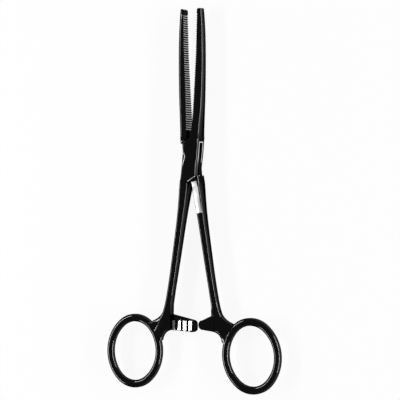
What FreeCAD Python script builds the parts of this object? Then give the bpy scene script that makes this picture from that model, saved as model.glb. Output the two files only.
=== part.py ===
import FreeCAD, Part
import math
import os

from FreeCAD import Vector

# Box-lock forceps with ring handles and a ratchet, lying flat, jaws a little open.
# +Y runs to the jaw tips, +X to the right, +Z up to the viewer.
# The origin is on the hinge axis, in the flat back face of the box lock.
# All values are millimetres or degrees. Each half is one forging.

# Overall reach, from the hinge axis
JAW_TIP_Y = 63.0
RING_CENTRE_X = 28.2
RING_CENTRE_Y = -81.0

# Box lock
BOX_THICKNESS = 6.4
TONGUE_THICKNESS = 2.3
SIDE_CLEARANCE = 0.05
SLOT_RADIUS = 8.0
TONGUE_RADIUS = 7.88
NECK_LOW_Y = 2.0
SHOULDER_ANGLE = 31.5
SHOULDER_DISTANCE = 7.7
SHOULDER_GAP = 0.12
BOX_TOP_Y = 9.5
BOX_BOTTOM_Y = -9.9
BOX_EASING = 0.75
BAR_INSET = 0.05
BAR_OVERLAP = 1.2
CLOSING_ANGLE = 5.75

# Hinge pin, its ends ground flush with the cheeks
PIN_RADIUS = 1.25
PIN_CLEARANCE = 0.05

# Side outline of the half whose jaw is on the right: (y, x) from the top down
CHEEK_RIGHT_SIDE = [(BOX_TOP_Y, 4.5), (6.9, 4.25), (4.0, 4.05), (0.0, 3.6), (-4.0, 3.1), (-7.4, 2.95)]
CHEEK_LEFT_SIDE = [(7.2, -3.0), (4.0, -3.1), (0.0, -3.5), (-4.0, -3.9), (-7.0, -4.25), (BOX_BOTTOM_Y, -4.8)]
JAW_ROOT_FACE_X = 1.0
SHANK_ROOT_INNER_X = -0.6

# Jaw: (y, grasping face x, outer side x, thickness)
JAW_STATIONS = [
    (BOX_TOP_Y, JAW_ROOT_FACE_X, 4.5, BOX_THICKNESS),
    (16.5, 1.32, 5.0, 5.3),
    (24.0, 1.70, 5.5, 4.6),
    (34.0, 2.20, 5.85, 4.2),
    (44.0, 2.72, 5.95, 4.0),
    (52.0, 2.92, 5.82, 3.9),
    (59.0, 3.08, 5.45, 3.8),
    (JAW_TIP_Y, 3.26, 5.1, 3.7),
]
JAW_TIP_RADIUS = 1.6
JAW_TIP_FACE_RADIUS = 0.7
JAW_EASING = 1.15

# Serrations across each grasping face
TOOTH_PITCH = 0.95
TOOTH_DEPTH = 0.38
FIRST_TOOTH_Y = 12.4
LAST_TOOTH_Y = 61.6

# Finger ring, an oval of round section, its top leaning inwards
RING_HALF_WIDTH = 12.1
RING_HALF_LENGTH = 14.1
RING_END_INSET = 1.5
RING_BAR_RADIUS = 1.68
RING_BAR_SIDES = 12
RING_TILT = 5.6

RING_LIMB_X = RING_CENTRE_X - RING_HALF_WIDTH
RING_TOP_Y = RING_CENTRE_Y + RING_HALF_LENGTH

# Shank: (y, centre distance from x = 0, width, thickness)
SHANK_STATIONS = [
    (BOX_BOTTOM_Y, 2.7, 4.2, BOX_THICKNESS),
    (-13.6, 3.35, 3.9, 5.5),
    (-19.0, 4.15, 3.5, 4.9),
    (-28.6, 5.65, 3.1, 4.4),
    (-38.6, 7.27, 3.0, 4.1),
    (-48.6, 8.94, 2.9, 3.8),
    (-57.0, 10.45, 3.0, 3.6),
    (-63.6, 11.85, 3.7, 3.5),
    (-69.5, RING_LIMB_X - 1.9, 5.4, 3.4),
    (-75.5, RING_LIMB_X + 0.4, 2.2, 2.2),
]
SHANK_EASING = 0.85

# Web between shank, ring and ratchet arm, as distances from x = 0
WEB_THICKNESS = 3.1
WEB_EASING = 0.8
WEB_OUTER = [(12.9, -60.5), (RING_LIMB_X - 1.1, -65.4), (RING_LIMB_X + 2.5, RING_TOP_Y - 0.8)]
WEB_INNER = [(RING_LIMB_X - 1.5, -76.0), (13.2, -73.0), (10.0, -71.6)]
WEB_RING_SEAT = [(RING_LIMB_X + 4.5, RING_TOP_Y - 2.1), (RING_LIMB_X + 1.2, -72.8), (RING_LIMB_X + 0.5, -76.6)]
WEB_ARM_ROOT = (9.9, -65.0)
WEB_TOP_INNER = (9.8, -60.5)

# Ratchet arms: the teeth of one face the teeth of the other when the handles close
ARM_TOP_ROOT_Y = -65.0
ARM_TOP_END_Y = -67.0
ARM_BOTTOM_ROOT_Y = -71.6
ARM_BOTTOM_END_Y = -72.2
FEMALE_ARM_END_X = 1.7
MALE_ARM_END_X = 3.9
MALE_ARM_TOP_END_Y = -66.9
MALE_ARM_BOTTOM_END_Y = -70.9
ARM_END_RADIUS = 1.9
ARM_THICKNESS = 1.65
ARM_FACE_GAP = 0.2
RATCHET_PITCH = 2.7
RATCHET_DEPTH = 0.6
RATCHET_TEETH = 4
RATCHET_FLANK = 0.7
RATCHET_END_LAND = 2.1
RATCHET_SIDE_LAND = 0.55

# Bare ground flat on the front of the right shank
FLAT_TOP_Y = -11.4
FLAT_BOTTOM_Y = -21.6
FLAT_TOP_X = 3.05
FLAT_BOTTOM_X = 4.6
FLAT_BELOW_FRONT = 0.6
FLAT_HALF_WIDTH = 1.25

MID_Z = BOX_THICKNESS / 2.0
BIG = 40.0
UP = Vector(0, 0, 1)
PIVOT = Vector(0, 0, 0)


def bar_section(y, x_first, x_second, thickness, first_edge, second_edge):
    """Closed wire in the plane at y: a rectangle about the middle plane, each side's corners eased by two flats."""
    if x_first > x_second:
        x_first, x_second = x_second, x_first
        first_edge, second_edge = second_edge, first_edge
    half = thickness / 2.0
    points = []
    for x, edge, side in ((x_first, first_edge, 1.0), (x_second, second_edge, -1.0)):
        bend = edge * (1.0 - math.sqrt(0.5))
        eased = [(x, half - edge), (x + side * bend, half - bend), (x + side * edge, half)]
        if edge == 0.0:
            eased = [(x, half)]
        lower = [(px, -pz) for px, pz in reversed(eased)]
        points += (lower + eased) if side > 0 else list(reversed(lower + eased))
    corners = [Vector(px, y, MID_Z + pz) for px, pz in points]
    return Part.makePolygon(corners + [corners[0]])


def plate(edges, z_low, thickness):
    """Straight-walled plate over a closed outline given as edges at z = 0."""
    face = Part.Face(Part.Wire(edges))
    face.translate(Vector(0, 0, z_low))
    return face.extrude(Vector(0, 0, thickness))


def polyline(points):
    """Straight edges through (x, y) points at z = 0."""
    corners = [Vector(x, y, 0) for x, y in points]
    return [Part.LineSegment(a, b).toShape() for a, b in zip(corners, corners[1:])]


def smooth_line(points):
    """One smooth edge through (x, y) points at z = 0."""
    curve = Part.BSplineCurve()
    curve.interpolate([Vector(x, y, 0) for x, y in points])
    return curve.toShape()


def turned(shape, degrees):
    """Copy of a shape turned about the hinge axis."""
    copy = shape.copy()
    copy.rotate(PIVOT, UP, degrees)
    return copy


def mirrored(shape):
    """Copy of a shape mirrored left to right through the hinge axis."""
    return shape.mirror(PIVOT, Vector(1, 0, 0))


def ease_long_edges(solid, size):
    """Chamfer the curved front and back edges of a plate, leaving its straight ones square."""
    picked = []
    for edge in solid.Edges:
        if isinstance(edge.Curve, Part.BSplineCurve) and edge.BoundBox.ZLength < 1e-6:
            picked.append(edge)
    return solid.makeChamfer(size, picked)


def box_block():
    """Crossing part of a half, jaw to the right: cheeks still joined, shoulders cut as diagonals."""
    right = [(x, y) for y, x in CHEEK_RIGHT_SIDE]
    left = [(x, y) for y, x in CHEEK_LEFT_SIDE]
    bottom = [left[-1], (SHANK_ROOT_INNER_X, BOX_BOTTOM_Y), right[-1]]
    top = [left[0], (JAW_ROOT_FACE_X, BOX_TOP_Y), right[0]]
    outline = [smooth_line(left)] + polyline(bottom) + [smooth_line(right[::-1])] + polyline(top[::-1])
    return ease_long_edges(plate(outline, 0.0, BOX_THICKNESS), BOX_EASING)


def full_band():
    """The same crossing part without the diagonals, for the half that passes through the slot."""
    right = [(x, y) for y, x in CHEEK_RIGHT_SIDE[:-1]] + [(2.95, BOX_BOTTOM_Y)]
    left = [(-3.0, BOX_TOP_Y)] + [(x, y) for y, x in CHEEK_LEFT_SIDE[1:]]
    outline = [smooth_line(left)] + polyline([left[-1], right[-1]])
    outline += [smooth_line(right[::-1])] + polyline([right[0], left[0]])
    return ease_long_edges(plate(outline, 0.0, BOX_THICKNESS), BOX_EASING)


def jaw():
    """Right jaw: a bar with a flat grasping face and eased outer edges, tip rounded, face serrated."""
    _, root_face_x, root_outer_x, root_thickness = JAW_STATIONS[0]
    wires = [bar_section(
        BOX_TOP_Y - BAR_OVERLAP, root_face_x + BAR_INSET, root_outer_x - 0.1 - BAR_INSET,
        root_thickness - 2 * BAR_INSET, 0.0, BOX_EASING)]
    for y, face_x, outer_x, thickness in JAW_STATIONS[1:]:
        wires.append(bar_section(y, face_x, outer_x, thickness, 0.0, JAW_EASING))
    bar = Part.makeLoft(wires, True, False)
    return bar.cut(tip_cutter()).cut(serration_cutter())


def tip_cutter():
    """What is ground away to round the jaw's end in plan."""
    y, face_x, outer_x, _ = JAW_STATIONS[-1]
    face_r = JAW_TIP_FACE_RADIUS
    outer_r = JAW_TIP_RADIUS
    slant = math.sqrt(0.5)
    edges = polyline([(face_x - 1.0, y - face_r), (face_x, y - face_r)])
    edges.append(Part.Arc(
        Vector(face_x, y - face_r, 0),
        Vector(face_x + face_r * (1 - slant), y - face_r * (1 - slant), 0),
        Vector(face_x + face_r, y, 0)).toShape())
    if outer_x - outer_r > face_x + face_r:
        edges += polyline([(face_x + face_r, y), (outer_x - outer_r, y)])
    edges.append(Part.Arc(
        Vector(outer_x - outer_r, y, 0),
        Vector(outer_x - outer_r * (1 - slant), y - outer_r * (1 - slant), 0),
        Vector(outer_x, y - outer_r, 0)).toShape())
    edges += polyline([
        (outer_x, y - outer_r), (outer_x + 1.5, y - outer_r), (outer_x + 1.5, y + 1.5),
        (face_x - 1.0, y + 1.5), (face_x - 1.0, y - face_r)])
    return plate(edges, -1.0, BOX_THICKNESS + 2.0)


def face_x_at(y):
    """Grasping face position at y, straight between the jaw's stations."""
    for (y0, x0, _, _), (y1, x1, _, _) in zip(JAW_STATIONS, JAW_STATIONS[1:]):
        if y0 <= y <= y1:
            return x0 + (x1 - x0) * (y - y0) / (y1 - y0)
    return JAW_STATIONS[-1][1]


def serration_cutter():
    """A comb of V grooves, one for each tooth space, crests left on the grasping face."""
    count = int((LAST_TOOTH_Y - FIRST_TOOTH_Y) / TOOTH_PITCH)
    points = []
    for index in range(count):
        y = FIRST_TOOTH_Y + index * TOOTH_PITCH
        points.append((face_x_at(y) - 0.02, y))
        points.append((face_x_at(y + TOOTH_PITCH / 2.0) + TOOTH_DEPTH, y + TOOTH_PITCH / 2.0))
    last_y = FIRST_TOOTH_Y + count * TOOTH_PITCH
    points.append((face_x_at(last_y) - 0.02, last_y))
    points.append((-1.0, last_y))
    points.append((-1.0, FIRST_TOOTH_Y))
    points.append(points[0])
    return plate(polyline(points), -1.0, BOX_THICKNESS + 2.0)


def shank():
    """Left shank: a tapering bar with eased edges that runs down into the ring."""
    _, centre, width, thickness = SHANK_STATIONS[0]
    wires = [bar_section(
        BOX_BOTTOM_Y + BAR_OVERLAP, -centre - width / 2.0 + 0.2 + BAR_INSET, -centre + width / 2.0 - BAR_INSET,
        thickness - 2 * BAR_INSET, BOX_EASING, BOX_EASING)]
    for y, centre, width, thickness in SHANK_STATIONS[1:]:
        low_x = -centre - width / 2.0
        wires.append(bar_section(y, low_x, low_x + width, thickness, SHANK_EASING, SHANK_EASING))
    return Part.makeLoft(wires, True, False)


def ring():
    """Left finger ring: a bar with eased sides bent to an oval of four tangent arcs."""
    minor = min(RING_HALF_WIDTH, RING_HALF_LENGTH)
    major = max(RING_HALF_WIDTH, RING_HALF_LENGTH)
    end_radius = minor - RING_END_INSET
    end_offset = major - end_radius
    flank_offset = (end_offset ** 2 - RING_END_INSET ** 2) / (2.0 * RING_END_INSET)
    flank_radius = minor + flank_offset
    end_half_angle = math.degrees(math.atan2(flank_offset, end_offset))
    flank_half_angle = 90.0 - end_half_angle
    arcs = [
        (0.0, flank_radius, Vector(-flank_offset, 0, 0), flank_half_angle),
        (90.0, end_radius, Vector(0, end_offset, 0), end_half_angle),
        (180.0, flank_radius, Vector(flank_offset, 0, 0), flank_half_angle),
        (270.0, end_radius, Vector(0, -end_offset, 0), end_half_angle),
    ]
    parts = []
    for direction, radius, centre, half_angle in arcs:
        bend = Part.Face(bar_round(radius)).revolve(PIVOT, UP, 2.0 * half_angle)
        bend.rotate(PIVOT, UP, direction - half_angle)
        bend.translate(centre)
        parts.append(bend)
    body = parts[0].fuse(parts[1:])
    if RING_HALF_WIDTH > RING_HALF_LENGTH:
        body.rotate(PIVOT, UP, 90.0)
    body.rotate(PIVOT, UP, -RING_TILT)
    body.translate(Vector(-RING_CENTRE_X, RING_CENTRE_Y, MID_Z))
    return body


def bar_round(radius):
    """Section of the ring's bar, a many-sided round, standing on the x axis at a radius."""
    corners = []
    for index in range(RING_BAR_SIDES):
        turn = 2.0 * math.pi * (index + 0.5) / RING_BAR_SIDES
        corners.append(Vector(radius + RING_BAR_RADIUS * math.cos(turn), 0, RING_BAR_RADIUS * math.sin(turn)))
    return Part.makePolygon(corners + [corners[0]])


def web():
    """Left web: fills the corners between shank, ring and ratchet arm with hollow curves."""
    outer = [(-x, y) for x, y in WEB_OUTER]
    inner = [(-x, y) for x, y in WEB_INNER]
    seat = [(-x, y) for x, y in WEB_RING_SEAT]
    arm_root = (-WEB_ARM_ROOT[0], WEB_ARM_ROOT[1])
    top_inner = (-WEB_TOP_INNER[0], WEB_TOP_INNER[1])
    edges = [smooth_line(outer)]
    edges += polyline([outer[-1]] + seat + [inner[0]])
    edges.append(smooth_line(inner))
    edges += polyline([inner[-1], arm_root, top_inner, outer[0]])
    solid = plate(edges, MID_Z - WEB_THICKNESS / 2.0, WEB_THICKNESS)
    return ease_long_edges(solid, WEB_EASING)


def arm(end_x, top_end_y, bottom_end_y, faces_up):
    """Ratchet arm in one half of the thickness, from the web to a rounded end, teeth on its inner face."""
    root_x = -WEB_ARM_ROOT[0] - 1.5
    radius = ARM_END_RADIUS
    slant = math.sqrt(0.5)
    edges = polyline([(root_x, ARM_TOP_ROOT_Y), (-WEB_ARM_ROOT[0], ARM_TOP_ROOT_Y)])
    edges += polyline([(-WEB_ARM_ROOT[0], ARM_TOP_ROOT_Y), (end_x - radius, top_end_y)])
    edges.append(Part.Arc(
        Vector(end_x - radius, top_end_y, 0),
        Vector(end_x - radius * (1 - slant), top_end_y - radius * (1 - slant), 0),
        Vector(end_x, top_end_y - radius, 0)).toShape())
    edges += polyline([(end_x, top_end_y - radius), (end_x, bottom_end_y + radius)])
    edges.append(Part.Arc(
        Vector(end_x, bottom_end_y + radius, 0),
        Vector(end_x - radius * (1 - slant), bottom_end_y + radius * (1 - slant), 0),
        Vector(end_x - radius, bottom_end_y, 0)).toShape())
    edges += polyline([(end_x - radius, bottom_end_y), (root_x, ARM_BOTTOM_ROOT_Y), (root_x, ARM_TOP_ROOT_Y)])
    inner_z = MID_Z - ARM_FACE_GAP / 2.0
    solid = plate(edges, inner_z - ARM_THICKNESS, ARM_THICKNESS)
    solid = solid.cut(ratchet_cutter(end_x, inner_z))
    if faces_up:
        return solid
    return solid.mirror(Vector(0, 0, MID_Z), UP)


def ratchet_cutter(end_x, inner_z):
    """Saw-tooth spaces cut down into the arm's inner face, steep flanks towards the shank."""
    tools = []
    for index in range(RATCHET_TEETH):
        crest_x = end_x - RATCHET_END_LAND - index * RATCHET_PITCH
        corners = [
            Vector(crest_x, -BIG * 2, inner_z + 0.3),
            Vector(crest_x, -BIG * 2, inner_z),
            Vector(crest_x - RATCHET_PITCH + RATCHET_FLANK, -BIG * 2, inner_z - RATCHET_DEPTH),
            Vector(crest_x - RATCHET_PITCH + RATCHET_FLANK / 3.0, -BIG * 2, inner_z - RATCHET_DEPTH),
            Vector(crest_x - RATCHET_PITCH, -BIG * 2, inner_z + 0.3),
        ]
        face = Part.Face(Part.makePolygon(corners + [corners[0]]))
        tools.append(face.extrude(Vector(0, BIG, 0)))
    cutter = tools[0].fuse(tools[1:])
    land = RATCHET_SIDE_LAND
    keep = Part.makeBox(BIG, BIG, BIG, Vector(-BIG / 2.0, ARM_TOP_END_Y - land, 0))
    return cutter.cut(keep)


def shoulder_tool(distance):
    """Everything nearer to the hinge axis than the two parallel shoulder lines."""
    tool = Part.makeBox(2 * BIG, 2 * distance, BIG, Vector(-BIG, -distance, -BIG / 2.0))
    tool.rotate(PIVOT, UP, SHOULDER_ANGLE)
    return tool


def slot_tool(radius, thickness):
    """Disc-shaped slot about the middle plane."""
    return Part.makeCylinder(radius, thickness, Vector(0, 0, MID_Z - thickness / 2.0))


def female_half():
    """Half with the box: right jaw, two cheeks, left shank, ring and ratchet arm with its teeth up."""
    slot_thickness = TONGUE_THICKNESS + 2 * SIDE_CLEARANCE
    block = box_block().common(shoulder_tool(SHOULDER_DISTANCE).fuse(female_root_keep()))
    slot = slot_tool(SLOT_RADIUS, slot_thickness)
    neck_low = MID_Z - slot_thickness / 2.0
    neck_x = JAW_ROOT_FACE_X - 0.02
    neck_length = BOX_TOP_Y + BAR_OVERLAP - NECK_LOW_Y
    upper_neck = Part.makeBox(BIG, neck_length, slot_thickness, Vector(neck_x - BIG, NECK_LOW_Y, neck_low))
    lower_neck = turned(upper_neck, 180.0)
    block = block.cut(slot.fuse([upper_neck, lower_neck]))
    handle = shank().fuse([ring(), web(), arm(FEMALE_ARM_END_X, ARM_TOP_END_Y, ARM_BOTTOM_END_Y, True)])
    half = block.fuse([jaw(), handle])
    return half.cut(Part.makeCylinder(PIN_RADIUS, BOX_THICKNESS + 2.0, Vector(0, 0, -1.0)))


def female_root_keep():
    """The jaw root and shank root, which stay beyond the shoulder lines."""
    jaw_root = Part.makeBox(BIG, BIG, BIG, Vector(JAW_ROOT_FACE_X, 0, -BIG / 2.0))
    shank_root = Part.makeBox(BIG, BIG, BIG, Vector(SHANK_ROOT_INNER_X - BIG, -BIG, -BIG / 2.0))
    return jaw_root.fuse(shank_root)


def male_half():
    """Half with the tongue: left jaw, tongue through the slot, right shank, ring and arm with teeth down."""
    band = mirrored(full_band())
    tongue = band.common(slot_tool(TONGUE_RADIUS, TONGUE_THICKNESS))
    jaw_side = Part.makeBox(BIG, BIG, BIG, Vector(-JAW_ROOT_FACE_X - BIG, 0, -BIG / 2.0))
    shank_side = Part.makeBox(BIG, BIG, BIG, Vector(-SHANK_ROOT_INNER_X, -BIG, -BIG / 2.0))
    roots = band.common(jaw_side.fuse(shank_side))
    handle = shank().fuse([ring(), web(), arm(-MALE_ARM_END_X, MALE_ARM_TOP_END_Y, MALE_ARM_BOTTOM_END_Y, False)])
    bars = roots.fuse([mirrored(jaw()), mirrored(handle)])
    tongue_level = Part.makeBox(2 * BIG, 2 * BIG, TONGUE_THICKNESS,
                                Vector(-BIG, -BIG, MID_Z - TONGUE_THICKNESS / 2.0))
    recess = turned(shoulder_tool(SHOULDER_DISTANCE + SHOULDER_GAP), CLOSING_ANGLE).cut(tongue_level)
    half = bars.cut(recess).fuse(tongue).cut(name_flat())
    return half.cut(Part.makeCylinder(PIN_RADIUS + PIN_CLEARANCE, BOX_THICKNESS + 2.0, Vector(0, 0, -1.0)))


def name_flat():
    """Shallow bare flat ground into the front of the right shank, its lower end round."""
    top = Vector(FLAT_TOP_X, FLAT_TOP_Y, 0)
    bottom = Vector(FLAT_BOTTOM_X, FLAT_BOTTOM_Y, 0)
    along = bottom.sub(top)
    along.normalize()
    across = Vector(-along.y, along.x, 0)
    side = across.multiply(FLAT_HALF_WIDTH)
    edges = [
        Part.LineSegment(bottom.add(side), top.add(side)).toShape(),
        Part.LineSegment(top.add(side), top.sub(side)).toShape(),
        Part.LineSegment(top.sub(side), bottom.sub(side)).toShape(),
        Part.Arc(bottom.sub(side), bottom.add(along.multiply(FLAT_HALF_WIDTH)), bottom.add(side)).toShape(),
    ]
    return plate(edges, BOX_THICKNESS - FLAT_BELOW_FRONT, 2.0)


def joint_pin():
    """Plain pin through both cheeks and the tongue."""
    return Part.makeCylinder(PIN_RADIUS, BOX_THICKNESS)


def save(node, shape):
    """Write one piece and print what it measures."""
    shape = shape.removeSplitter()
    solid = shape.Solids[0] if len(shape.Solids) == 1 else shape
    box = solid.BoundBox
    print(node, "solids", len(shape.Solids), "valid", solid.isValid(), "volume %.1f" % solid.Volume,
          "x %.2f %.2f" % (box.XMin, box.XMax), "y %.2f %.2f" % (box.YMin, box.YMax),
          "z %.2f %.2f" % (box.ZMin, box.ZMax))
    solid.exportStep("parts/" + node + ".step")
    return solid


os.makedirs("parts", exist_ok=True)
save("female_half", female_half())
save("male_half", male_half())
save("joint_pin", joint_pin())
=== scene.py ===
# %% [markdown]
# # Box-lock forceps on a white table
# These forceps are two steel forgings and one pin. One half has a box with a slot through it, and the
# other half's tongue passes through the slot and turns on the pin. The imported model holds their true
# shapes, so the first step loads it as a fixed frame. Everything made here is laid over that frame.

# %% Load the frame
import math

import bpy
import numpy as np
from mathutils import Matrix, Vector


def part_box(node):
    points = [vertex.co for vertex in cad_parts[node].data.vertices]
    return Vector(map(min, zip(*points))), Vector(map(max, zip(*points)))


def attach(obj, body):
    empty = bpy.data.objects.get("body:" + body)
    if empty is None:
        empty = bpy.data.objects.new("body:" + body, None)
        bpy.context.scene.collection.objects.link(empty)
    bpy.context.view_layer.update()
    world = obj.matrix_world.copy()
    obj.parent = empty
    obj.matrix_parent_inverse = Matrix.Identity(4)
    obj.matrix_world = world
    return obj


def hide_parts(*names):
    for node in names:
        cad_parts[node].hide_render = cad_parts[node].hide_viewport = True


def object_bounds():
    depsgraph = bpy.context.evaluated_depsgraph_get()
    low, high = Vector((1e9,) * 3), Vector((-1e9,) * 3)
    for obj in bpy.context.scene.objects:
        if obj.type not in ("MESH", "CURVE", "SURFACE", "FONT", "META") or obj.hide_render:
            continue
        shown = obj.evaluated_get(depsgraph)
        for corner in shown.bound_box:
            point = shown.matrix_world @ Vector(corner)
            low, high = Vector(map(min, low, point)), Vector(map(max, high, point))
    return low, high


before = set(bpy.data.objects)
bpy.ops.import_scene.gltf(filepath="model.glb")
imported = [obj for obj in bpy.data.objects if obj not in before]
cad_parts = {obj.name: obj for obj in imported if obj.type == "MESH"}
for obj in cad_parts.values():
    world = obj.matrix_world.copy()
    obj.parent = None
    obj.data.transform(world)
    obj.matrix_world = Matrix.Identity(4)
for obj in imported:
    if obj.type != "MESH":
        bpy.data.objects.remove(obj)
cad_bounds = [list(corner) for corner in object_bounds()]
print("frame nodes:", sorted(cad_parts))

# %% [markdown]
# ## Where things are
# All lengths are metres, in the frame's own axes: +Y to the jaw tips, +Z up from the table. The hinge
# axis stands at x = y = 0, and the halves lie about a middle plane half the box's height up. The pin is
# as high as the box, so reading the pin from the frame keeps the scene true if the box is made thicker.

# %% Heights from the pin
pin_low, pin_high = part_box("joint_pin")
FRONT_Z = pin_high[2]
MIDDLE_Z = (pin_low[2] + FRONT_Z) / 2.0
print("middle plane at %.2f mm, front at %.2f mm" % (MIDDLE_Z * 1000, FRONT_Z * 1000))

# %% [markdown]
# ## Arithmetic with nodes
# A mask or a streak is built from small sums, and each sum is a node. One short function that takes
# sockets or numbers lets the later cells read like arithmetic.

# %% Maths nodes
def maths(tree, operation, first, second):
    """One maths node on two sockets or numbers, which gives its result socket."""
    node = tree.nodes.new("ShaderNodeMath")
    node.operation = operation
    for socket, value in zip(node.inputs, (first, second)):
        if isinstance(value, float):
            socket.default_value = value
        else:
            tree.links.new(value, socket)
    return node.outputs[0]

# %% [markdown]
# ## Polished steel
# The steel is mirror polished and the picture shows it almost black, with thin white lines where the
# rounded edges catch a lamp. A metal's colour is the colour of its reflections, so a very dark base
# colour in a dim room stays black and leaves only the lamps bright. Real polishing is never perfect:
# fine haze and buffing marks along the steel change the roughness a little from place to place. Both
# halves and the pin need such marks at different strengths, so they go into one node group.

# %% Noise for marks
STREAK_STRETCH = (4000.0, 250.0, 4000.0)
STREAK_DETAIL = 2.0
HAZE_SCALE = 90.0
HAZE_DETAIL = 3.0
STREAK_HEIGHT = 0.00002
MARK_DEFAULTS = {"Roughness": 0.1, "Haze": 0.03, "Streaks": 0.02, "Bump": 0.02}


def noise(tree, place, scale, detail):
    """Noise from 0 to 1, read at a place times a scale: the larger the scale, the finer the marks."""
    texture = tree.nodes.new("ShaderNodeTexNoise")
    texture.inputs["Scale"].default_value = scale
    texture.inputs["Detail"].default_value = detail
    tree.links.new(place, texture.inputs["Vector"])
    return texture.outputs["Fac"]

# %% Node group for buffing marks
def buffing_group():
    """Roughness plus each strength times its noise less a half, and a normal raised by the streaks."""
    group = bpy.data.node_groups.new("buffing_marks", "ShaderNodeTree")
    for name, value in MARK_DEFAULTS.items():
        socket = group.interface.new_socket(name, in_out="INPUT", socket_type="NodeSocketFloat")
        socket.default_value = value
    group.interface.new_socket("Roughness", in_out="OUTPUT", socket_type="NodeSocketFloat")
    group.interface.new_socket("Normal", in_out="OUTPUT", socket_type="NodeSocketVector")
    entry = group.nodes.new("NodeGroupInput")
    leave = group.nodes.new("NodeGroupOutput")
    place = group.nodes.new("ShaderNodeTexCoord").outputs["Object"]
    along = group.nodes.new("ShaderNodeMapping")
    along.inputs["Scale"].default_value = STREAK_STRETCH
    group.links.new(place, along.inputs["Vector"])
    streaks = noise(group, along.outputs["Vector"], 1.0, STREAK_DETAIL)
    haze = noise(group, place, HAZE_SCALE, HAZE_DETAIL)

    total = entry.outputs["Roughness"]
    for texture, strength in ((streaks, "Streaks"), (haze, "Haze")):
        centred = maths(group, "SUBTRACT", texture, 0.5)
        total = maths(group, "ADD", total, maths(group, "MULTIPLY", centred, entry.outputs[strength]))
    total.node.use_clamp = True
    group.links.new(total, leave.inputs["Roughness"])

    bump = group.nodes.new("ShaderNodeBump")
    bump.inputs["Distance"].default_value = STREAK_HEIGHT
    group.links.new(entry.outputs["Bump"], bump.inputs["Strength"])
    group.links.new(streaks, bump.inputs["Height"])
    group.links.new(bump.outputs["Normal"], leave.inputs["Normal"])
    return group


BUFFING = buffing_group()
print("group inputs:", ", ".join(MARK_DEFAULTS))

# %% Steel materials
DARK_STEEL = (0.04, 0.04, 0.041, 1.0)
GRAZING_TINT = (0.08, 0.08, 0.085, 1.0)


def steel(name, **marks):
    """Polished metal whose roughness and normal come from the buffing group."""
    material = bpy.data.materials.new(name)
    material.use_nodes = True
    tree = material.node_tree
    shader = tree.nodes["Principled BSDF"]
    shader.inputs["Base Color"].default_value = DARK_STEEL
    shader.inputs["Metallic"].default_value = 1.0
    shader.inputs["Specular Tint"].default_value = GRAZING_TINT
    group = tree.nodes.new("ShaderNodeGroup")
    group.node_tree = BUFFING
    for socket, value in marks.items():
        group.inputs[socket].default_value = value
    for socket in ("Roughness", "Normal"):
        tree.links.new(group.outputs[socket], shader.inputs[socket])
    return material


polished = steel("polished_steel", Roughness=0.1, Haze=0.05, Streaks=0.04, Bump=0.03)
pin_steel = steel("pin_steel", Roughness=0.12, Haze=0.05, Streaks=0.02, Bump=0.05)
print("steels:", polished.name, pin_steel.name)

# %% [markdown]
# ## Ground places and painted highlights
# Some places get a pale steel colour instead of the polish. One flank of every jaw serration and the
# long face of every ratchet tooth are ground faces, and their paleness is partly painted highlight: of
# each serration only the flank that faces the tips is pale. The rim of the slot's mouth, the cheek's
# lower shoulder and a flat on the front of the right shank are painted highlights, pale lines and a
# pale panel where the polish shines. The first two are whole faces, so an attribute on the faces marks
# them. The others are only parts of long faces, so each is a box in Object coordinates, and the pale
# metal shows where the surface lies inside a box.

# %% Painted highlights as boxes
SLOT_HALF_HEIGHT = 0.0012
MOUTH_X = 0.0039
MOUTH_HALF_DEPTH = 0.0012
MOUTH_END_Y = 0.00695
RIM_HIGHLIGHT_WIDTH = 0.0005

# Each box is its centre, its turn about the hinge axis and its half sizes.
# Painted highlights: a pale panel on the right shank's flat and a pale line along the cheek's lower
# shoulder.
SHANK_FLAT_HIGHLIGHT = ((0.00362, -0.0157, 0.0059), math.radians(9.6), (0.0013, 0.0067, 0.0008))
SHOULDER_HIGHLIGHT = ((0.00170, -0.00775, FRONT_Z), math.radians(31.5), (0.0027, 0.0002, 0.0006))


def slot_rim_highlight(hand):
    """Painted highlight on the slot's rim on one side, hand 1 right and -1 left: two long bars and one
    across an end.
    """
    half_rim = RIM_HIGHLIGHT_WIDTH / 2.0
    rim_z = SLOT_HALF_HEIGHT + half_rim
    end_y = MOUTH_END_Y + half_rim
    long_bar = (MOUTH_HALF_DEPTH, MOUTH_END_Y, half_rim)
    end_bar = (MOUTH_HALF_DEPTH, half_rim, SLOT_HALF_HEIGHT + RIM_HIGHLIGHT_WIDTH)
    return [
        ((hand * MOUTH_X, 0.0, MIDDLE_Z - rim_z), 0.0, long_bar),
        ((hand * MOUTH_X, 0.0, MIDDLE_Z + rim_z), 0.0, long_bar),
        ((hand * MOUTH_X, hand * end_y, MIDDLE_Z), 0.0, end_bar),
    ]


HIGHLIGHT_BOXES = [SHANK_FLAT_HIGHLIGHT, SHOULDER_HIGHLIGHT, *slot_rim_highlight(1.0), *slot_rim_highlight(-1.0)]
print("ground boxes:", len(HIGHLIGHT_BOXES))

# %% Masks
EDGE_SOFTNESS = 0.00012


def soft_step(tree, room):
    """0 where room is negative, 1 where it is more than the soft edge's width, even between."""
    clamp = tree.nodes.new("ShaderNodeClamp")
    tree.links.new(maths(tree, "DIVIDE", room, EDGE_SOFTNESS), clamp.inputs["Value"])
    return clamp.outputs["Result"]


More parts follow.
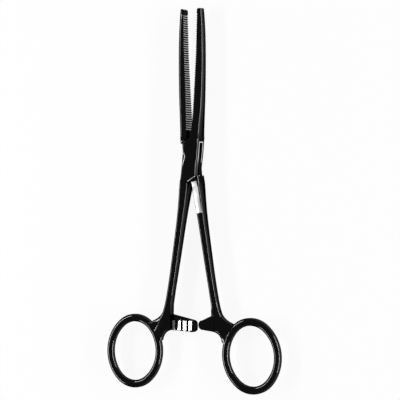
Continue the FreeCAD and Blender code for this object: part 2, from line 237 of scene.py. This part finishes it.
def box_mask(tree, place, centre, turn, half_sizes):
    """1 inside a box turned about +Z: the least of half size minus distance over the three axes."""
    own_axes = tree.nodes.new("ShaderNodeMapping")
    own_axes.vector_type = "TEXTURE"
    own_axes.inputs["Location"].default_value = centre
    own_axes.inputs["Rotation"].default_value = (0.0, 0.0, turn)
    tree.links.new(place, own_axes.inputs["Vector"])
    parts = tree.nodes.new("ShaderNodeSeparateXYZ")
    tree.links.new(own_axes.outputs["Vector"], parts.inputs["Vector"])
    room = None
    for axis, half in zip("XYZ", half_sizes):
        free = maths(tree, "SUBTRACT", half, maths(tree, "ABSOLUTE", parts.outputs[axis], 0.0))
        room = free if room is None else maths(tree, "MINIMUM", room, free)
    return soft_step(tree, room)

# %% Pale ground metal and painted highlights
PALE_GROUND_AND_HIGHLIGHT = (0.86, 0.86, 0.87, 1.0)
PALE_GROUND_AND_HIGHLIGHT_ROUGHNESS = 0.35
# The painted highlight on the teeth stops above the arm's rim, and the polish below it stays dark.
ARM_RIM_Y = -0.0714
# A Mix node has one set of sockets for each kind of data, and these are the places of its colours.
MIX_COLOUR_A, MIX_COLOUR_B, MIX_COLOUR_OUT = 6, 7, 2


def add_ground_and_highlight_paint(material):
    """Mix pale steel, partly ground finish and partly painted highlight, into a polished material by
    the face attribute and by the boxes.
    """
    tree = material.node_tree
    shader = tree.nodes["Principled BSDF"]
    place = tree.nodes.new("ShaderNodeTexCoord").outputs["Object"]
    parts = tree.nodes.new("ShaderNodeSeparateXYZ")
    tree.links.new(place, parts.inputs["Vector"])
    # The face attribute marks serration flanks and tooth faces, whose pale colour is partly painted
    # highlight.
    marked = tree.nodes.new("ShaderNodeAttribute")
    marked.attribute_name = "ground"
    above_rim = soft_step(tree, maths(tree, "SUBTRACT", parts.outputs["Y"], ARM_RIM_Y))
    mask = maths(tree, "MULTIPLY", marked.outputs["Fac"], above_rim)
    for centre, turn, half_sizes in HIGHLIGHT_BOXES:
        mask = maths(tree, "MAXIMUM", mask, box_mask(tree, place, centre, turn, half_sizes))
    blend = tree.nodes.new("ShaderNodeMix")
    blend.data_type = "RGBA"
    tree.links.new(mask, blend.inputs["Factor"])
    blend.inputs[MIX_COLOUR_A].default_value = DARK_STEEL
    blend.inputs[MIX_COLOUR_B].default_value = PALE_GROUND_AND_HIGHLIGHT
    tree.links.new(blend.outputs[MIX_COLOUR_OUT], shader.inputs["Base Color"])
    polish = shader.inputs["Roughness"].links[0].from_socket
    rougher = maths(tree, "MULTIPLY", mask, PALE_GROUND_AND_HIGHLIGHT_ROUGHNESS)
    tree.links.new(maths(tree, "ADD", polish, rougher), shader.inputs["Roughness"])


add_ground_and_highlight_paint(polished)
print("nodes in", polished.name, len(polished.node_tree.nodes))

# %% [markdown]
# ## The two halves
# A imported node is a cloud of loose triangles, and a mirror finish would show each as a facet. A copy
# with its doubles merged can carry smooth normals. Edges sharper than a limit stay crisp, so the teeth
# and the box keep their ground corners. On the long bars, large faces lead the normals, which keeps the
# fronts calm while the narrow eased edges shade as rounds. The rings have no large faces, so they keep
# plain smooth normals, apart from the flat faces of the webs that join them to the shanks.

# %% Ground faces with painted highlight
# Limits on the parts of a face's unit normal.
FLANK_NORMAL_Y = (0.5, 0.75)
FLANK_MOST_Z = 0.1
TOOTH_NORMAL_X = (0.2, 0.4)
TOOTH_MOST_Y = 0.05
# Where the centres of the ratchet's tooth faces lie.
ARM_REACH_Y = (-0.0725, -0.0660)
ARM_REACH_X = 0.0095


def between(values, limits):
    """True where a value lies between two limits."""
    return (values > limits[0]) & (values < limits[1])


def mark_ground_and_highlight_faces(mesh):
    """Face attribute "ground": 1 where a face's own normal and centre fit a serration or a tooth.

    A serration's flank faces partly to the tips and stands upright, beyond the pin. A tooth's long face
    leans along the arm, and its centre lies within the arm's reach. The pale colour these faces get is
    partly ground finish and partly painted highlight: only the flank facing the tips is marked.
    """
    count = len(mesh.polygons)
    normals = np.empty(count * 3)
    centres = np.empty(count * 3)
    mesh.polygons.foreach_get("normal", normals)
    mesh.polygons.foreach_get("center", centres)
    nx, ny, nz = normals.reshape(count, 3).T
    cx, cy, _ = centres.reshape(count, 3).T
    flank = between(ny, FLANK_NORMAL_Y) & (np.abs(nz) < FLANK_MOST_Z) & (cy > pin_high[1])
    on_arm = between(cy, ARM_REACH_Y) & (np.abs(cx) < ARM_REACH_X)
    tooth = on_arm & (np.abs(ny) < TOOTH_MOST_Y) & between(np.abs(nx), TOOTH_NORMAL_X)
    marks = mesh.attributes.new("ground", "FLOAT", "FACE")
    marks.data.foreach_set("value", (flank | tooth).astype(np.float32))
    print("ground faces:", int(flank.sum()), "serration,", int(tooth.sum()), "ratchet")

# %% Smooth normals
CREASE_ANGLE = math.radians(50.0)
RING_STARTS_X = 0.0150
WEB_HALF_THICKNESS = 0.00155
WEB_FACE_MARGIN = 0.00002
LARGE_FACE_WEIGHT = 62


def smooth_normals(piece):
    """Smooth below the crease angle, with large faces leading on the bars and the webs."""
    bpy.ops.object.shade_smooth_by_angle(angle=CREASE_ANGLE)
    places = np.empty(len(piece.data.vertices) * 3)
    piece.data.vertices.foreach_get("co", places)
    x, _, z = places.reshape(-1, 3).T
    on_web = np.abs(np.abs(z - MIDDLE_Z) - WEB_HALF_THICKNESS) < WEB_FACE_MARGIN
    flat_bars = piece.vertex_groups.new(name="flat_bars")
    flat_bars.add(np.flatnonzero((np.abs(x) < RING_STARTS_X) | on_web).tolist(), 1.0, "ADD")
    lead = piece.modifiers.new("large_faces_lead", "WEIGHTED_NORMAL")
    lead.keep_sharp = True
    lead.weight = LARGE_FACE_WEIGHT
    lead.vertex_group = flat_bars.name
    bpy.ops.object.modifier_apply(modifier=lead.name)

# %% Polished copies
MERGE_DISTANCE = 0.000002


def polished_copy(node, name):
    """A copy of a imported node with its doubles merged, smooth normals and the polished steel."""
    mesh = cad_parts[node].data.copy()
    piece = bpy.data.objects.new(name, mesh)
    bpy.context.scene.collection.objects.link(piece)
    for other in bpy.context.selected_objects:
        other.select_set(False)
    bpy.context.view_layer.objects.active = piece
    piece.select_set(True)
    bpy.ops.object.mode_set(mode="EDIT")
    bpy.ops.mesh.select_all(action="SELECT")
    bpy.ops.mesh.remove_doubles(threshold=MERGE_DISTANCE)
    bpy.ops.mesh.customdata_custom_splitnormals_clear()
    bpy.ops.object.mode_set(mode="OBJECT")
    smooth_normals(piece)
    mark_ground_and_highlight_faces(piece.data)
    piece.data.materials.clear()
    piece.data.materials.append(polished)
    print(name, "faces", len(piece.data.polygons))
    return piece


female = polished_copy("female_half", "female_half_polished")
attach(female, "box_side")
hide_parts("female_half")
male = polished_copy("male_half", "male_half_polished")
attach(male, "tongue_side")
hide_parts("male_half")

# %% [markdown]
# ## The pin
# The pin's ends are ground flush with the box and polished over, so it is a plain cylinder whose round
# wall is hidden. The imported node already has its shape, and only takes its own steel.

# %% Pin
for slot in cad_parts["joint_pin"].material_slots:
    slot.material = pin_steel
print("pin height %.2f mm" % ((pin_high[2] - pin_low[2]) * 1000))

# %% [markdown]
# ## Table
# The picture's background is pure white, and polished steel shows it in its side faces. The paint alone
# would need too much light on the object to reach white. So the table also glows, but only for the
# camera and for reflections, and a little of the paint stays in the mix to take the object's shadow.

# %% Table sheet
TABLE_SIZE = 1.2
TABLE_CENTRE = (0.0, -0.017)
TABLE_GAP = 0.0004
SHEET_POINTS = 5


def flat_sheet(name, size, centre, z):
    """A level square, size wide about its centre: a grid of points, four to each face."""
    steps = np.linspace(-size / 2.0, size / 2.0, SHEET_POINTS)
    gx, gy = np.meshgrid(steps + centre[0], steps + centre[1])
    points = np.stack([gx.ravel(), gy.ravel(), np.full(gx.size, z)], axis=1)
    row = np.arange(SHEET_POINTS - 1)
    corner = (row[:, None] * SHEET_POINTS + row[None, :]).ravel()
    above = corner + SHEET_POINTS
    faces = np.stack([corner, corner + 1, above + 1, above], axis=1)
    mesh = bpy.data.meshes.new(name)
    mesh.from_pydata(points.tolist(), [], faces.tolist())
    sheet = bpy.data.objects.new(name, mesh)
    bpy.context.scene.collection.objects.link(sheet)
    return sheet


table = flat_sheet("table_top", TABLE_SIZE, TABLE_CENTRE, cad_bounds[0][2] - TABLE_GAP)
print("table at %.2f mm" % (table.data.vertices[0].co.z * 1000))

# %% Table paint
TABLE_COLOUR = (0.86, 0.86, 0.86, 1.0)
TABLE_ROUGHNESS = 0.9
TABLE_GLOW = 0.92


def glowing_paint(name):
    """White paint mixed with a white glow for camera, glossy and transmission rays."""
    material = bpy.data.materials.new(name)
    material.use_nodes = True
    tree = material.node_tree
    paint = tree.nodes["Principled BSDF"]
    paint.inputs["Base Color"].default_value = TABLE_COLOUR
    paint.inputs["Roughness"].default_value = TABLE_ROUGHNESS
    glow = tree.nodes.new("ShaderNodeEmission")
    rays = tree.nodes.new("ShaderNodeLightPath")
    seen = maths(tree, "MAXIMUM", rays.outputs["Is Camera Ray"], rays.outputs["Is Glossy Ray"])
    seen = maths(tree, "MAXIMUM", seen, rays.outputs["Is Transmission Ray"])
    blend = tree.nodes.new("ShaderNodeMixShader")
    tree.links.new(maths(tree, "MULTIPLY", seen, TABLE_GLOW), blend.inputs[0])
    tree.links.new(paint.outputs[0], blend.inputs[1])
    tree.links.new(glow.outputs[0], blend.inputs[2])
    tree.links.new(blend.outputs[0], tree.nodes["Material Output"].inputs["Surface"])
    return material


table.data.materials.append(glowing_paint("white_table"))
print("table paint:", table.data.materials[0].name)

# %% [markdown]
# ## Room and lamps
# Thin white lines along black steel come from long, narrow lamps in a dim room: each rounded edge
# mirrors a lamp as one line. Two strips run along the forceps, one low on each side. Together with the
# room they light the table's paint about as bright as its colour says.

# %% Room
ROOM_COLOUR = (1.0, 1.0, 1.0, 1.0)
ROOM_LIGHT = 0.12

world = bpy.data.worlds.new("white_room")
bpy.context.scene.world = world
world.use_nodes = True
background = world.node_tree.nodes["Background"]
background.inputs["Color"].default_value = ROOM_COLOUR
background.inputs["Strength"].default_value = ROOM_LIGHT
print("room light", ROOM_LIGHT)

# %% Lamps
LAMP_DISTANCE = 0.6
LAMP_LENGTH = 0.9
LAMP_POWER = 4.8


def strip_lamp(name, angle, width):
    """A strip along the forceps, tipped about their length by an angle from overhead, facing them."""
    lamp = bpy.data.lights.new(name, "AREA")
    lamp.shape = "RECTANGLE"
    lamp.size = width
    lamp.size_y = LAMP_LENGTH
    lamp.energy = LAMP_POWER
    holder = bpy.data.objects.new(name, lamp)
    bpy.context.scene.collection.objects.link(holder)
    tip = math.radians(angle)
    lamp_x = LAMP_DISTANCE * math.sin(tip)
    lamp_z = MIDDLE_Z + LAMP_DISTANCE * math.cos(tip)
    holder.location = (lamp_x, TABLE_CENTRE[1], lamp_z)
    holder.rotation_euler = (0.0, tip, 0.0)
    print(name, "at %.2f, %.2f m" % (lamp_x, lamp_z))


strip_lamp("left_strip", angle=-58.0, width=0.075)
strip_lamp("right_strip", angle=72.0, width=0.06)

# %% [markdown]
# ## Camera
# The picture shows the left jaw's inner face and the slot in the box's right side, so its camera stood
# about thirty degrees to the right. It looks square to the forceps' length, from three quarters of a
# metre, where the near and far parts differ little in scale.

# %% Camera
CAMERA_SIDE_ANGLE = math.radians(30.0)
CAMERA_DISTANCE = 0.76
VIEW_CENTRE = (0.0037, -0.0169, MIDDLE_Z)
SENSOR_WIDTH = 36.0
FIELD_WIDTH = 0.1668
NEAR_LIMIT = 0.01

camera_data = bpy.data.cameras.new("camera")
camera_data.sensor_width = SENSOR_WIDTH
camera_data.lens = SENSOR_WIDTH * CAMERA_DISTANCE / FIELD_WIDTH
camera_data.clip_start = NEAR_LIMIT
camera = bpy.data.objects.new("camera", camera_data)
bpy.context.scene.collection.objects.link(camera)
camera_x = VIEW_CENTRE[0] + CAMERA_DISTANCE * math.sin(CAMERA_SIDE_ANGLE)
camera_z = VIEW_CENTRE[2] + CAMERA_DISTANCE * math.cos(CAMERA_SIDE_ANGLE)
camera.location = (camera_x, VIEW_CENTRE[1], camera_z)
camera.rotation_mode = "ZYX"
camera.rotation_euler = (0.0, CAMERA_SIDE_ANGLE, 0.0)
bpy.context.scene.camera = camera
bpy.context.scene.view_settings.view_transform = "Standard"
print("lens %.1f mm" % camera_data.lens)
